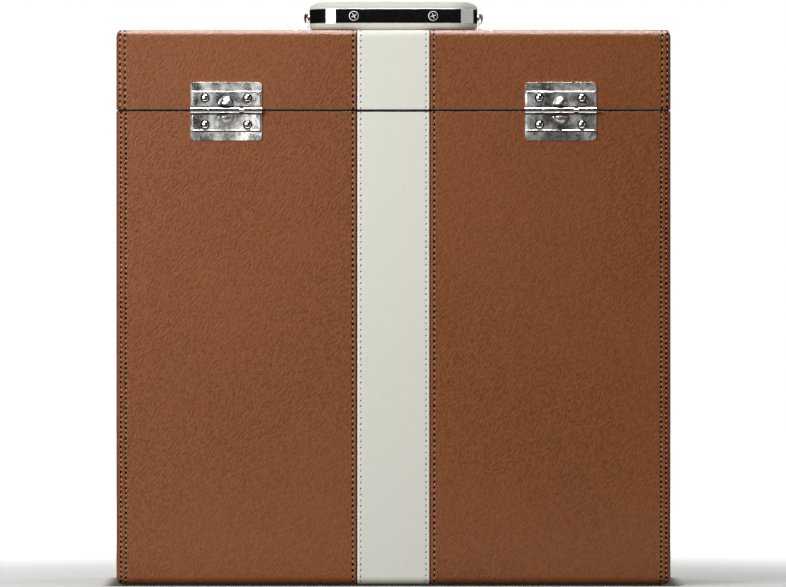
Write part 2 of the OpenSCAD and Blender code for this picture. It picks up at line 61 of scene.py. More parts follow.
# measures taken from the frame
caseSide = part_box("base_cover_right")[1][0]
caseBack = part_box("base_cover_right")[1][1]
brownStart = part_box("base_cover_right")[0][0]
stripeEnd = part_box("base_stripe")[1][0]
seamX = (brownStart + stripeEnd) / 2
halfGap = (brownStart - stripeEnd) / 2
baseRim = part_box("base_stripe")[1][2]
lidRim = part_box("lid_stripe")[0][2]
rimMiddle = (baseRim + lidRim) / 2
pinMiddle = middleOf("hinge_left_pin")


def addMesh(name, verts, faces, body, material, slot):
    mesh = bpy.data.meshes.new(name)
    mesh.from_pydata(verts, [], faces)
    mesh.update()
    return addPiece(name, mesh, body, [material])


def addPiece(name, mesh, body, materials):
    for material in materials:
        mesh.materials.append(material)
    mesh.shade_smooth()
    piece = bpy.data.objects.new(name, mesh)
    bpy.context.scene.collection.objects.link(piece)
    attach(piece, body)
    return piece


def lerp(a, b, t):
    return a + (b - a) * t


def rgb(r, g, b):
    return (r, g, b, 1.0)


photo = {
    "middle": 0.3 * mm,  # the picture's centre beside the case's middle
    "eyeHeight": 0.1846,
    "distance": 5.5,  # from the back face
    "frameWidth": 0.496,  # what the picture shows at the back face
    "sensor": 36.0,
    "farthest": 100,
}

camera = bpy.data.objects.new("camera", bpy.data.cameras.new("camera"))
camera.data.sensor_width = photo["sensor"]
camera.data.lens = photo["sensor"] * photo["distance"] / photo["frameWidth"]
camera.data.clip_end = photo["farthest"]
camera.location = (photo["middle"], caseBack + photo["distance"], photo["eyeHeight"])
camera.rotation_euler = (math.radians(90), 0, math.radians(180))
bpy.context.scene.collection.objects.link(camera)
bpy.context.scene.camera = camera
print("camera ready")


# node helpers: a value may be a number, a colour or another node's socket
def blankMaterial(name):
    material = bpy.data.materials.new(name)
    material.use_nodes = True
    tree = material.node_tree
    tree.nodes.clear()
    return material, tree, tree.nodes.new("ShaderNodeOutputMaterial")


def newMaterial(name):
    material, tree, out = blankMaterial(name)
    shader = tree.nodes.new("ShaderNodeBsdfPrincipled")
    tree.links.new(shader.outputs[0], out.inputs[0])
    return material, tree, shader


def feed(tree, socket, value):
    if isinstance(value, bpy.types.NodeSocket):
        tree.links.new(value, socket)
    elif value is not None:
        socket.default_value = value


def place(tree, scale=(1, 1, 1), turn=(0, 0, 0), kind="POINT"):  # object coordinates, scaled and turned
    coord = tree.nodes.new("ShaderNodeTexCoord")
    mapping = tree.nodes.new("ShaderNodeMapping")
    mapping.vector_type = kind
    mapping.inputs["Scale"].default_value = scale
    mapping.inputs["Rotation"].default_value = [math.radians(a) for a in turn]
    tree.links.new(coord.outputs["Object"], mapping.inputs["Vector"])
    return mapping.outputs[0]


def noise(tree, where, scale, detail, rough):
    node = tree.nodes.new("ShaderNodeTexNoise")
    node.inputs["Scale"].default_value = scale
    node.inputs["Detail"].default_value = detail
    node.inputs["Roughness"].default_value = rough
    tree.links.new(where, node.inputs["Vector"])
    return node.outputs[0]


def cells(tree, where, scale, feature="F1"):
    node = tree.nodes.new("ShaderNodeTexVoronoi")
    node.feature = feature
    node.inputs["Scale"].default_value = scale
    tree.links.new(where, node.inputs["Vector"])
    return node.outputs["Distance"]


def ramp(tree, value, low, high, outLow=0.0, outHigh=1.0):
    node = tree.nodes.new("ShaderNodeMapRange")
    node.interpolation_type = "SMOOTHSTEP"
    feed(tree, node.inputs["Value"], value)
    for name, number in (("From Min", low), ("From Max", high), ("To Min", outLow), ("To Max", outHigh)):
        feed(tree, node.inputs[name], number)
    return node.outputs[0]


def compute(tree, operation, a, b=None):
    node = tree.nodes.new("ShaderNodeMath")
    node.operation = operation
    feed(tree, node.inputs[0], a)
    feed(tree, node.inputs[1], b)
    return node.outputs[0]


def axes(tree):  # x, y and z on the part, in metres
    split = tree.nodes.new("ShaderNodeSeparateXYZ")
    tree.links.new(place(tree), split.inputs[0])
    return split.outputs


def facing(tree):  # the surface's direction as x, y and z
    coord = tree.nodes.new("ShaderNodeTexCoord")
    split = tree.nodes.new("ShaderNodeSeparateXYZ")
    tree.links.new(coord.outputs["Normal"], split.inputs[0])
    return split.outputs


def mixColour(tree, share, a, b):
    node = tree.nodes.new("ShaderNodeMix")
    node.data_type = "RGBA"
    feed(tree, node.inputs[0], share)
    feed(tree, node.inputs[6], a)
    feed(tree, node.inputs[7], b)
    return node.outputs[2]


def mixValue(tree, share, a, b):
    node = tree.nodes.new("ShaderNodeMix")
    feed(tree, node.inputs[0], share)
    feed(tree, node.inputs[2], a)
    feed(tree, node.inputs[3], b)
    return node.outputs[0]


def bump(tree, height, distance, strength, under=None):
    node = tree.nodes.new("ShaderNodeBump")
    node.inputs["Distance"].default_value = distance
    feed(tree, node.inputs["Strength"], strength)
    tree.links.new(height, node.inputs["Height"])
    feed(tree, node.inputs["Normal"], under)
    return node.outputs[0]


def rippled(tree, where, layer, strength, under=None):  # a layer: a noise's three numbers, and its height
    return bump(tree, noise(tree, where, *layer[:3]), layer[3], strength, under)


def roundedNormal(tree, radius):  # softens machined edges
    node = tree.nodes.new("ShaderNodeBevel")
    node.samples = 4
    node.inputs["Radius"].default_value = radius
    return node.outputs[0]


def specks(tree, where, layer, amount, feature="F1"):  # a layer: specks per metre, core and edge
    scale, core, edge = layer
    return ramp(tree, cells(tree, where, scale, feature), core, edge, amount, 0)


def band(tree, value, rise, fall):  # 1 between the two ramps
    return compute(tree, "MULTIPLY", ramp(tree, value, *rise), ramp(tree, value, *fall, 1, 0))


brownFinish = {
    "colour": rgb(0.290, 0.0945, 0.0295),
    "deep": rgb(0.204, 0.0650, 0.0205),
    "light": rgb(0.310, 0.135, 0.050),
    "dark": rgb(0.130, 0.040, 0.014),
    "roughness": (0.24, 0.34),
    "specular": 0.20,
    "pebble": 0.7,
    "mottle": 0.5,
    "crease": 1.0,
    # painted highlight: the pale colour beside the seams and rims
    "wearAndHighlight": rgb(0.400, 0.185, 0.085),
    "seamHighlight": (1.6 * mm, 2.6 * mm, 0.22),  # painted highlight out to here from the seam, and how much
    # painted shade on the brown's rolled edge at the seam
    "seamEdgeShade": rgb(0.110, 0.024, 0.010),
    "seamEdgeShadeAmount": 0.9,
    "rimHighlightAmount": 0.5,
    # painted shade in the fold between the rims, where the parting line shows
    "foldShade": rgb(0.008, 0.004, 0.002),
}
creamFinish = {
    "colour": rgb(0.850, 0.845, 0.758),
    "deep": rgb(0.832, 0.827, 0.740),
    "light": rgb(0.810, 0.805, 0.740),
    "dark": rgb(0.660, 0.645, 0.570),
    "roughness": (0.42, 0.52),
    "specular": 0.09,
    "pebble": 0.4,
    "mottle": 0.3,
    "crease": 0.35,
    # painted highlight: the pale colour beside the seams and rims
    "wearAndHighlight": rgb(0.980, 0.975, 0.940),
    # painted highlight out to here from the seam, and how much
    "seamHighlight": (1.2 * mm, 1.5 * mm, 1.0),
    "seamEdgeShade": rgb(0.980, 0.975, 0.940),
    "seamEdgeShadeAmount": 0.0,
    "rimHighlightAmount": 1.0,
    # painted shade in the fold between the rims
    "foldShade": rgb(0.010, 0.008, 0.006),
}
# painted shade: a darker copy of the cream leatherette that tones down the brightly lit handle pads
shadedPadFinish = dict(
    creamFinish, colour=rgb(0.690, 0.682, 0.610), deep=rgb(0.665, 0.657, 0.585), specular=0.06)
edgeLightAndShade = {
    "rimLight": (0.85 * mm, 1.35 * mm),  # painted highlight: height above or below the parting line
    # painted fold shade: full up to the first height above or below the parting line, gone at the second
    "rimFold": (0.72 * mm, 0.90 * mm),
    "foldDrop": 0.2 * mm,  # the painted fold shade shows lower than the middle of the gap
    "seamEdgeShade": (0.75 * mm, 1.0 * mm),  # painted shade on the seam's edge: distance from the middle of the seam
    "foldDepth": 1.0 * mm,  # the painted fold shade reaches this far in
}


def paintedEdgeLight(tree, base, finish):  # painted highlights beside the seams and rims, painted shade at the seam's edge and in the fold between the rims
    x, y, z = axes(tree)
    outwards, backwards = compute(tree, "ABSOLUTE", x), compute(tree, "ABSOLUTE", y)
    fromSeam = compute(tree, "ABSOLUTE", compute(tree, "SUBTRACT", outwards, seamX))
    fromRim = compute(tree, "ABSOLUTE", compute(tree, "SUBTRACT", z, rimMiddle - edgeLightAndShade["foldDrop"]))
    near, far, amount = finish["seamHighlight"]
    base = mixColour(tree, ramp(tree, fromSeam, near, far, amount, 0), base, finish["wearAndHighlight"])
    inSeam = ramp(tree, fromSeam, *edgeLightAndShade["seamEdgeShade"], finish["seamEdgeShadeAmount"], 0)
    base = mixColour(tree, inSeam, base, finish["seamEdgeShade"])
    besideRim = ramp(tree, fromRim, *edgeLightAndShade["rimLight"], finish["rimHighlightAmount"], 0)
    base = mixColour(tree, besideRim, base, finish["wearAndHighlight"])
    atBack = compute(tree, "GREATER_THAN", backwards, caseBack - edgeLightAndShade["foldDepth"])
    atSide = compute(tree, "GREATER_THAN", outwards, caseSide - edgeLightAndShade["foldDepth"])
    inFold = compute(tree, "MAXIMUM", atBack, atSide)
    foldShade = compute(tree, "MULTIPLY", ramp(tree, fromRim, *edgeLightAndShade["rimFold"], 1, 0), inFold)
    return mixColour(tree, foldShade, base, finish["foldShade"])


# here and below, a noise is its spots per metre, its detail and its roughness
grain = {
    "crease": (900, 3, 0.6),
    "stretch": (1.0, 1.0, 2.4),
    "slant": (0, -40, 0),
    "creaseHeight": 0.34 * mm,
    "creaseColour": (0.35, 0.65),
    "creaseGloss": (0.3, 0.7),
    "cloud": (9, 2, 0.5),
    "cloudRange": (0.35, 0.65),
    "cloudShare": 0.35,
    "lightSpecks": (210, 0.05, 0.09),
    "darkSpecks": (170, 0.05, 0.10),
    "darkTurn": (20, 50, 10),
    "pebbles": (1250, 0.15, 0.75),
    "pebbleHeight": 0.09 * mm,
    "wave": (28, 2, 0.5, 1.6 * mm),
    "waveStrength": 0.12,
}


def leatherette(name, finish, edges=True):
    material, tree, shader = newMaterial(name)
    where, turned = place(tree), place(tree, turn=grain["darkTurn"])
    slanted = place(tree, grain["stretch"], grain["slant"], "TEXTURE")
    crease = noise(tree, slanted, *grain["crease"])
    cloud = ramp(tree, noise(tree, where, *grain["cloud"]), *grain["cloudRange"])
    base = mixColour(tree, ramp(tree, crease, *grain["creaseColour"]), finish["deep"], finish["colour"])
    base = mixColour(tree, ramp(tree, cloud, 0, 1, 0, grain["cloudShare"]), base, finish["colour"])
    for spots, at, tone in (("lightSpecks", where, "light"), ("darkSpecks", turned, "dark")):
        base = mixColour(tree, specks(tree, at, grain[spots], finish["mottle"]), base, finish[tone])
    if edges:
        base = paintedEdgeLight(tree, base, finish)
    tree.links.new(base, shader.inputs["Base Color"])
    normal = rippled(tree, where, grain["wave"], grain["waveStrength"])
    normal = bump(tree, crease, grain["creaseHeight"], finish["crease"], normal)
    pebble = specks(tree, where, grain["pebbles"], 1, "SMOOTH_F1")
    normal = bump(tree, pebble, grain["pebbleHeight"], finish["pebble"], normal)
    tree.links.new(normal, shader.inputs["Normal"])
    gloss = ramp(tree, crease, *grain["creaseGloss"], *finish["roughness"])
    tree.links.new(gloss, shader.inputs["Roughness"])
    shader.inputs["Specular IOR Level"].default_value = finish["specular"]
    return material


nickelKinds = {  # colour, roughness from clean spots to dull ones, strength of the swell
    "brightNickel": (rgb(0.80, 0.785, 0.755), (0.08, 0.20), 0.25),
    "dullNickel": (rgb(0.34, 0.335, 0.325), (0.20, 0.36), 0.35),
    # painted shade: a darkened copy of the nickel, so the handle brackets show dark
    "darkenedNickel": (rgb(0.07, 0.068, 0.065), (0.25, 0.40), 0.35),
    "backRivets": (rgb(0.80, 0.785, 0.755), (0.08, 0.16), 0.2),
    "frontRivets": (rgb(0.80, 0.785, 0.755), (0.08, 0.16), 0.2),
}
nickelWear = {
    "tarnish": rgb(0.52, 0.50, 0.47),
    "blotch": (240, 4, 0.6),
    "blotchRange": (0.42, 0.72, 0, 0.5),
    "spots": (700, 3, 0.6),
    "spotRange": (0.35, 0.7),
    "edge": 0.18 * mm,
    "swell": (130, 1, 0.4, 1.2 * mm),
    "pits": (900, 2, 0.5, 0.08 * mm),
    "pitStrength": 0.25,
}
rivetRing = {"foot": 0.92 * mm, "clean": 0.58 * mm, "paintedShade": rgb(0.020, 0.019, 0.018)}  # below the top; the last colour is painted shade at the feet of the heads


def rivetFeet(tree, node, side):  # 1 at the feet of the heads on this side of the case, where the painted shade goes
    out = compute(tree, "MULTIPLY", axes(tree)[1], side)
    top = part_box(node)[1 if side > 0 else 0][1] * side
    return ramp(tree, out, top - rivetRing["foot"], top - rivetRing["clean"], 1, 0)


def nickelPlate(name, heads=None):
    colour, roughness, ripple = nickelKinds[name]
    material, tree, shader = newMaterial(name)
    where = place(tree)
    blotch = ramp(tree, noise(tree, where, *nickelWear["blotch"]), *nickelWear["blotchRange"])
    base = mixColour(tree, blotch, colour, nickelWear["tarnish"])
    if heads:
        # painted shade round the feet of the rivet heads
        base = mixColour(tree, rivetFeet(tree, *heads), base, rivetRing["paintedShade"])
    tree.links.new(base, shader.inputs["Base Color"])
    shader.inputs["Metallic"].default_value = 1
    spotted = noise(tree, where, *nickelWear["spots"])
    tree.links.new(ramp(tree, spotted, *nickelWear["spotRange"], *roughness), shader.inputs["Roughness"])
    normal = roundedNormal(tree, nickelWear["edge"])
    normal = rippled(tree, where, nickelWear["swell"], ripple, normal)
    normal = rippled(tree, where, nickelWear["pits"], nickelWear["pitStrength"], normal)
    tree.links.new(normal, shader.inputs["Normal"])
    return material


leafSheet = {
    "pale": rgb(0.74, 0.725, 0.69),
    "dark": rgb(0.30, 0.30, 0.30),
    "blotch": (190, 5, 0.7),
    "blotchRange": (0.38, 0.66),
    "roughness": (0.20, 0.42),
    "cloud": (110, 4, 0.6),
    "cloudRange": (0.35, 0.65),
    "barrelRoughness": 0.10,
    "barrel": (2.3 * mm, 2.9 * mm),  # the barrel's surface, then the sheet's
    "edge": 0.2 * mm,
    "swell": (34, 1, 0.4, 3.2 * mm),  # slow waves of the pressed sheet
    "dents": (260, 2, 0.5, 0.4 * mm),
    "dentStrength": 0.4,
    "pits": (900, 2, 0.5, 0.08 * mm),
    "pitStrength": 0.3,
    # painted shade colour for the hinge leaves
    "paintedShade": rgb(0.030, 0.028, 0.026),
    "besideBarrel": ((1.75 * mm, 1.95 * mm), (2.6 * mm, 2.9 * mm)),  # above and below the pin
    "creaseFoot": ((5.25 * mm, 5.35 * mm), (5.55 * mm, 5.7 * mm)),  # in from the free edge
    "footShadeAmount": 0.8,
    # the painted shade also falls where the sheet faces down
    "facingDown": (-0.20, -0.45),
    "nearCrease": ((4.6 * mm, 4.9 * mm), (7.0 * mm, 7.4 * mm)),
}


# painted shade beside the barrel, at the foot of the creases and on their undersides
def leafShade(tree, up, z, sheet):
    lowest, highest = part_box("hinge_left_base_leaf")[0][2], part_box("hinge_left_lid_leaf")[1][2]
    overLowest, underHighest = compute(tree, "SUBTRACT", z, lowest), compute(tree, "SUBTRACT", highest, z)
    fromEnd = compute(tree, "MINIMUM", overLowest, underHighest)
    corner = band(tree, compute(tree, "ABSOLUTE", up), *leafSheet["besideBarrel"])
    foot = compute(tree, "MULTIPLY", band(tree, fromEnd, *leafSheet["creaseFoot"]), leafSheet["footShadeAmount"])
    under = compute(tree, "MULTIPLY", ramp(tree, facing(tree)[2], *leafSheet["facingDown"]), sheet)
    under = compute(tree, "MULTIPLY", under, band(tree, fromEnd, *leafSheet["nearCrease"]))
    return compute(tree, "MAXIMUM", corner, compute(tree, "MAXIMUM", foot, under))


def hingeLeaf(name):  # dull rippled sheet, bright where it is drawn round the pin
    material, tree, shader = newMaterial(name)
    where = place(tree)
    _, y, z = axes(tree)
    out = compute(tree, "SUBTRACT", y, pinMiddle[1])
    up = compute(tree, "SUBTRACT", z, pinMiddle[2])
    squares = compute(tree, "ADD", compute(tree, "MULTIPLY", out, out), compute(tree, "MULTIPLY", up, up))
    sheet = ramp(tree, compute(tree, "SQRT", squares), *leafSheet["barrel"])
    blotch = ramp(tree, noise(tree, where, *leafSheet["blotch"]), *leafSheet["blotchRange"])
    wearAndHighlight = compute(tree, "MULTIPLY", blotch, sheet)
    base = mixColour(tree, wearAndHighlight, leafSheet["pale"], leafSheet["dark"])
    # painted shade over the leaf
    base = mixColour(tree, leafShade(tree, up, z, sheet), base, leafSheet["paintedShade"])
    tree.links.new(base, shader.inputs["Base Color"])
    shader.inputs["Metallic"].default_value = 1
    cloudy = noise(tree, where, *leafSheet["cloud"])
    cloudy = ramp(tree, cloudy, *leafSheet["cloudRange"], *leafSheet["roughness"])
    tree.links.new(mixValue(tree, sheet, leafSheet["barrelRoughness"], cloudy), shader.inputs["Roughness"])
    normal = roundedNormal(tree, leafSheet["edge"])
    normal = rippled(tree, where, leafSheet["swell"], sheet, normal)
    dented = compute(tree, "MULTIPLY", sheet, leafSheet["dentStrength"])
    normal = rippled(tree, where, leafSheet["dents"], dented, normal)
    normal = rippled(tree, where, leafSheet["pits"], leafSheet["pitStrength"], normal)
    tree.links.new(normal, shader.inputs["Normal"])
    return material


bandChrome = {
    "colour": rgb(0.86, 0.86, 0.87),
    "scuffs": (500, 3, 0.6),
    "scuffRange": (0.4, 0.7, 0.03, 0.10),  # of the noise, then the roughness there
    "edge": 0.15 * mm,
    "swell": (60, 1, 0.4, 0.6 * mm),
    "swellStrength": 0.10,
}


def chromePlate(name):
    material, tree, shader = newMaterial(name)
    where = place(tree)
    shader.inputs["Base Color"].default_value = bandChrome["colour"]
    shader.inputs["Metallic"].default_value = 1
    scuffs = noise(tree, where, *bandChrome["scuffs"])
    tree.links.new(ramp(tree, scuffs, *bandChrome["scuffRange"]), shader.inputs["Roughness"])
    normal = roundedNormal(tree, bandChrome["edge"])
    normal = rippled(tree, where, bandChrome["swell"], bandChrome["swellStrength"], normal)
    tree.links.new(normal, shader.inputs["Normal"])
    return material


screwHead = {
    # painted highlight: white matt colour on the rim and cross
    "rim": rgb(0.92, 0.91, 0.88),
    # painted dark reflection on the polished face
    "paintedDarkReflection": rgb(0.05, 0.05, 0.05),
    "roughness": (0.5, 0.15),
    "facing": (0.90, 0.97),  # the polish starts where the head faces straight out
    "below": (0.15 * mm, 0.05 * mm),  # and this near its front
}


def panScrew(name):  # painted highlight on the rim and cross, a polished face between them with a painted dark reflection
    material, tree, shader = newMaterial(name)
    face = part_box("handle_band_screws")[1][1]
    flat = ramp(tree, facing(tree)[1], *screwHead["facing"])
    raised = ramp(tree, axes(tree)[1], *[face - drop for drop in screwHead["below"]])
    polished = compute(tree, "MULTIPLY", flat, raised)
    base = mixColour(tree, polished, screwHead["rim"], screwHead["paintedDarkReflection"])
    tree.links.new(base, shader.inputs["Base Color"])
    tree.links.new(mixValue(tree, polished, *screwHead["roughness"]), shader.inputs["Roughness"])
    tree.links.new(polished, shader.inputs["Metallic"])
    return material


birch = {
    "dark": rgb(0.50, 0.34, 0.19),
    "light": rgb(0.66, 0.49, 0.31),
    "stretch": (1.0, 1.0, 14.0),
    "grain": (60, 5, 0.6),
    "grainRange": (0.35, 0.65),
    "height": 0.3 * mm,
    "strength": 0.4,
    "roughness": 0.6,
}


def plywood(name):
    material, tree, shader = newMaterial(name)
    veins = noise(tree, place(tree, birch["stretch"]), *birch["grain"])
    base = mixColour(tree, ramp(tree, veins, *birch["grainRange"]), birch["dark"], birch["light"])
    tree.links.new(base, shader.inputs["Base Color"])
    shader.inputs["Roughness"].default_value = birch["roughness"]
    tree.links.new(bump(tree, veins, birch["height"], birch["strength"]), shader.inputs["Normal"])
    return material


flock = {
    "dark": rgb(0.012, 0.011, 0.010),
    "light": rgb(0.024, 0.021, 0.019),
    "cloud": (25, 2, 0.5),
    "cloudRange": (0.35, 0.65),
    "tips": rgb(0.05, 0.045, 0.04),
    "pile": (1600, 3, 0.7),
    "pileRange": (0.45, 0.75, 0, 0.5),
    "height": 0.4 * mm,
    "strength": 0.6,
    "roughness": 0.95,
    "sheen": 0.35,
}


def flockLining(name):
    material, tree, shader = newMaterial(name)
    where = place(tree)
    pile = noise(tree, where, *flock["pile"])
    cloud = ramp(tree, noise(tree, where, *flock["cloud"]), *flock["cloudRange"])
    base = mixColour(tree, cloud, flock["dark"], flock["light"])
    base = mixColour(tree, ramp(tree, pile, *flock["pileRange"]), base, flock["tips"])
    tree.links.new(base, shader.inputs["Base Color"])
    shader.inputs["Roughness"].default_value = flock["roughness"]
    shader.inputs["Sheen Weight"].default_value = flock["sheen"]
    tree.links.new(bump(tree, pile, flock["height"], flock["strength"]), shader.inputs["Normal"])
    return material


plainFinishes = {  # dark and light colour, spots per metre, roughness, height of the grain, specular level
    "blackPlastic": (rgb(0.012, 0.011, 0.011), rgb(0.016, 0.015, 0.015), 1100, (0.38, 0.55), 0.1 * mm, 0.5),
    "greyFibre": (rgb(0.120, 0.122, 0.125), rgb(0.185, 0.187, 0.190), 900, (0.7, 0.9), 0.1 * mm, 0.5),
    # painted shade: dark red-brown on the faces inside the seam gap
    "seamGapShade": (rgb(0.085, 0.022, 0.010), rgb(0.165, 0.046, 0.020), 1500, (0.7, 0.9), 0.1 * mm, 0.5),
    "brownThread": (rgb(0.42, 0.31, 0.20), rgb(0.70, 0.60, 0.46), 2600, (0.4, 0.5), 0.08 * mm, 0.5),
    "creamThread": (rgb(0.80, 0.79, 0.74), rgb(0.93, 0.92, 0.88), 2600, (0.4, 0.5), 0.08 * mm, 0.5),
    # the needle-hole finishes are painted shade: dark colour, without specular, for the shade inside the
    # holes
    "brownNeedleHole": (rgb(0.002, 0.001, 0.001), rgb(0.006, 0.003, 0.002), 1800, (0.9, 1.0), 0.1 * mm, 0),
    "creamNeedleHole": (rgb(0.035, 0.025, 0.020), rgb(0.085, 0.065, 0.055), 1800, (0.9, 1.0), 0.1 * mm, 0),
    "flagBlack": (rgb(0.010, 0.009, 0.008), rgb(0.012, 0.011, 0.010), 20, (0.95, 1.0), 0.1 * mm, 0.5),
}
plainGrain = {"detail": 3, "rough": 0.6, "colour": (0.35, 0.65), "gloss": (0.3, 0.7), "strength": 0.4}


def grainedFinish(name):
    dark, light, scale, roughness, height, specular = plainFinishes[name]
    material, tree, shader = newMaterial(name)
    shader.inputs["Specular IOR Level"].default_value = specular
    spots = noise(tree, place(tree), scale, plainGrain["detail"], plainGrain["rough"])
    base = mixColour(tree, ramp(tree, spots, *plainGrain["colour"]), dark, light)
    tree.links.new(base, shader.inputs["Base Color"])
    tree.links.new(ramp(tree, spots, *plainGrain["gloss"], *roughness), shader.inputs["Roughness"])
    tree.links.new(bump(tree, spots, height, plainGrain["strength"]), shader.inputs["Normal"])
    return material


brown = leatherette("brownLeatherette", brownFinish)
cream = leatherette("creamLeatherette", creamFinish)
shadedPadCream = leatherette("shadedPadLeatherette", shadedPadFinish, edges=False)
leafNickel = hingeLeaf("leafNickel")
darkenedNickel = nickelPlate("darkenedNickel")
backRivets = nickelPlate("backRivets", ("hinge_base_rivets", 1))
frontRivets = nickelPlate("frontRivets", ("clasp_base_rivets", -1))
finishOf = {  # by slot
    "board": plywood("birchBoard"),
    "brown_leatherette": brown,
    "cream_leatherette": cream,
    "lining": flockLining("flockLining"),
    "nickel": nickelPlate("brightNickel"),
    "chrome": chromePlate("chromePlate"),
    "black_plastic": grainedFinish("blackPlastic"),
    "grey_fibre": grainedFinish("greyFibre"),
}
nodeFinish = {  # nodes that look unlike the rest of their slot
    "hinge_left_base_leaf": leafNickel,
    "hinge_left_lid_leaf": leafNickel,
    "hinge_right_base_leaf": leafNickel,
    "hinge_right_lid_leaf": leafNickel,
    "hinge_base_rivets": backRivets,
    "hinge_lid_rivets": backRivets,
    "clasp_base_rivets": frontRivets,
    "strike_rivets": frontRivets,
    # the brackets take the darkened nickel: painted shade
    "handle_bracket_left": darkenedNickel,
    "handle_bracket_right": darkenedNickel,
    "handle_pivots": nickelPlate("dullNickel"),
    "handle_band_screws": panScrew("panScrew"),
}
sharpAngle = {"nodes": 25, "boards": 40, "pads": 50}  # degrees


def sharpen(mesh, kind):  # an edge bent by more than this stays crisp
    mesh.set_sharp_from_angle(angle=math.radians(sharpAngle[kind]))


for part in frame["record"]["subparts"]:
    mesh = nodes[part["node"]].data
    mesh.materials.clear()
    mesh.materials.append(nodeFinish.get(part["node"], finishOf[part["material_slot"]]))
    mesh.shade_smooth()
    sharpen(mesh, "nodes")
print("finishes ready")


shell = {
    "edgeRadius": 5 * mm,
    "endRadius": 2.8 * mm,  # the same rounding, measured across the ends of the case
    "edgeSteps": 10,
    "rimRadius": 0.9 * mm,
    "rimSteps": 4,
    "turnIn": 8 * mm,  # how far the cover folds in over the rim
    "thickness": 0.8 * mm,
    "boardInset": 1 * mm,  # from the cover's outside to the boards
    "rollRadius": 0.8 * mm,  # rounded edge of a panel beside a seam
    "rollAngles": (0, 12, 25, 40, 60, 90),  # where that edge gets a loop, in degrees
    "seamDepth": 0.7 * mm,
    "seamWall": 0.05 * mm,  # the panel drops into the seam over this width
    "grooveDepth": 0.16 * mm,  # the stitches pull the cover in
    "grooveWidth": 0.6 * mm,
    "grooveLoops": (-1.5, -1.0, -0.65, -0.3, 0, 0.3, 0.65, 1.0, 1.5),  # mm from the row
}
caseParts = {  # a row of stitches is its distance from the middle and its pitch
    "base": {
        "low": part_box("base_stripe")[0][2],
        "high": baseRim,
        "rimOnTop": True,
        "brownRows": [
            (seamX + 2.7 * mm, 3.7 * mm),
            (caseSide - 6.1 * mm, 3.15 * mm),
            (caseSide - 3.0 * mm, 3.15 * mm),
        ],
        "creamRows": [(seamX - 2.4 * mm, 3.7 * mm)],
    },
    "lid": {
        "low": lidRim,
        "high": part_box("lid_stripe")[1][2],
        "rimOnTop": False,
        "brownRows": [
            (seamX + 2.5 * mm, 3.85 * mm),
            (caseSide - 5.5 * mm, 3.85 * mm),
            (caseSide - 2.3 * mm, 3.85 * mm),
        ],
        "creamRows": [(seamX - 2.4 * mm, 3.85 * mm)],
    },
}


def pressDepth(part, x):  # how far the cover is pressed in at this distance from the middle
    depth = 0.0
    for row, _ in part["brownRows"] + part["creamRows"]:
        depth += shell["grooveDepth"] * math.exp(-(((x - row) / shell["grooveWidth"]) ** 2))
    fromSeam = abs(x - seamX) - halfGap
    r = shell["rollRadius"]
    if fromSeam < 0:
        depth += shell["seamDepth"]
    elif fromSeam < r:
        depth += shell["seamDepth"] / r * (r - math.sqrt(r * r - (r - fromSeam) ** 2))
    return depth


def cutStations(part):  # where the shell gets an edge loop, to the micrometre
    stations = [seamX]
    for row, _ in part["brownRows"] + part["creamRows"]:
        stations += [row + step * mm for step in shell["grooveLoops"]]
    for side in (-1, 1):
        edge = seamX + side * halfGap
        for angle in shell["rollAngles"]:
            stations.append(edge + side * shell["rollRadius"] * (1 - math.cos(math.radians(angle))))
        stations.append(edge - side * shell["seamWall"])
    return sorted({round(x, 6) for x in stations})


def roundEdges(bm, edges, radius, steps):
    bmesh.ops.bevel(bm, geom=edges, offset=radius, offset_type="OFFSET", profile=0.5,
                    segments=steps, affect="EDGES", clamp_overlap=False)


def cutAcross(bm, point, normal, dropInner=False):
    bmesh.ops.bisect_plane(bm, geom=bm.verts[:] + bm.edges[:] + bm.faces[:], dist=cutTolerance,
                           plane_co=point, plane_no=normal, clear_inner=dropInner)


def atHeight(item, z):
    return all(abs(v.co.z - z) < tiny for v in item.verts)


def squeezeEnd(x, side, r, endR):  # the rounding is narrower across the ends than along the edges
    over = abs(x) - (side - r)
    return x if over <= 0 else math.copysign(side - endR + over * endR / r, x)


def softBlock(side, back, low, high, rimZ, inset=0.0):  # rounded except at the rim
    r, endR = shell["edgeRadius"] - inset, shell["endRadius"] - inset
    bm = bmesh.new()
    bmesh.ops.create_cube(bm, size=1)
    for v in bm.verts:
        v.co = Vector((v.co.x * 2 * side, v.co.y * 2 * back, lerp(low, high, v.co.z + 0.5)))
    roundEdges(bm, [e for e in bm.edges if not atHeight(e, rimZ)], r, shell["edgeSteps"])
    for v in bm.verts:
        v.co.x = squeezeEnd(v.co.x, side, r, endR)
    return bm


def roundedBox(part):
    low, high = part["low"], part["high"]
    rimZ = high if part["rimOnTop"] else low
    bm = softBlock(caseSide, caseBack, low, high, rimZ)
    roundEdges(bm, [e for e in bm.edges if atHeight(e, rimZ)], shell["rimRadius"], shell["rimSteps"])
    mouth = max((f for f in bm.faces if atHeight(f, rimZ)), key=lambda f: f.calc_area())
    bmesh.ops.inset_region(bm, faces=[mouth], thickness=shell["turnIn"] - shell["rimRadius"])
    bmesh.ops.delete(bm, geom=[mouth], context="FACES")
    bmesh.ops.remove_doubles(bm, verts=bm.verts, dist=tiny)
    return bm


def pressedShell(part):
    bm = roundedBox(part)
    for x in cutStations(part):
        for side in (-1, 1):
            cutAcross(bm, (side * x, 0, 0), (1, 0, 0))
    bm.normal_update()
    moves = [(v, v.normal * pressDepth(part, abs(v.co.x))) for v in bm.verts]
    for v, move in moves:
        v.co -= move
    bm.normal_update()
    return bm


